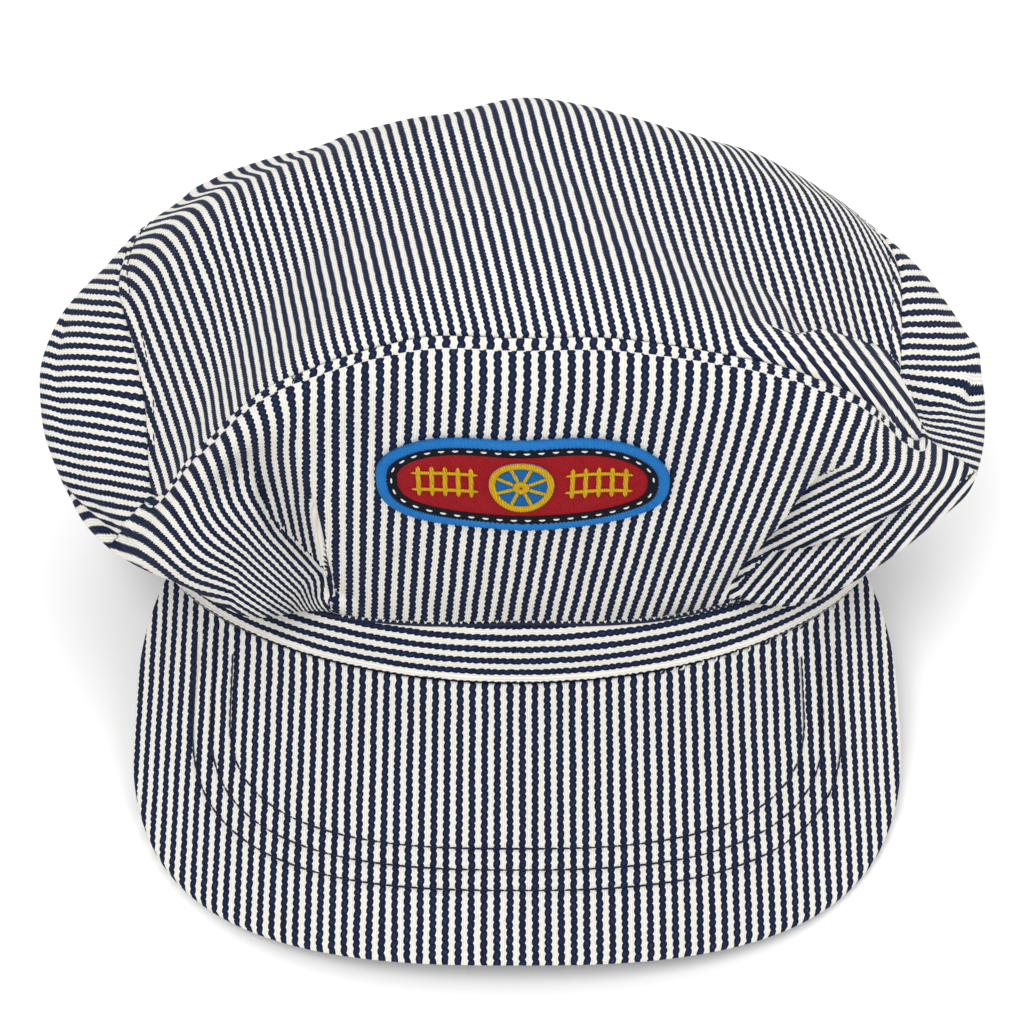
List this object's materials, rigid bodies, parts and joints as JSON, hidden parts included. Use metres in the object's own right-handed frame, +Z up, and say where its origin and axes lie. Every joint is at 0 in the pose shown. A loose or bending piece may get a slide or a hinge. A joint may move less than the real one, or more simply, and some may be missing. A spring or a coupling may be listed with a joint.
{
  "type": "railroad engineer cap",
  "caption": "Soft hickory-stripe engineer cap worn on the head: floppy pleated crown, narrow band, arched visor and an oval embroidered patch.",
  "frame": {"origin": "on the floor, below the middle of the resting cap's bounding box", "axes": "+Z up from the floor, -Y towards the visor, +X towards the right of the picture (the wearer's left)"},
  "size_m": [0.234, 0.237, 0.1348],
  "materials": {
    "crown_cloth": "navy and off-white hickory-stripe cotton twill, matt",
    "band_cloth": "the same striped twill, stripes running round the band, matt",
    "visor_cloth": "the same striped twill over a stiff visor board, with stitched rows",
    "patch_thread": "embroidery thread with a soft sheen: red field, blue border, yellow motif"
  },
  "bodies": {
    "root": {"visor": "visor_cloth", "band": "band_cloth", "crown_front": "crown_cloth", "crown_top": "crown_cloth", "crown_side_left": "crown_cloth", "crown_side_right": "crown_cloth", "patch": "patch_thread"}
  },
  "joints": []
}
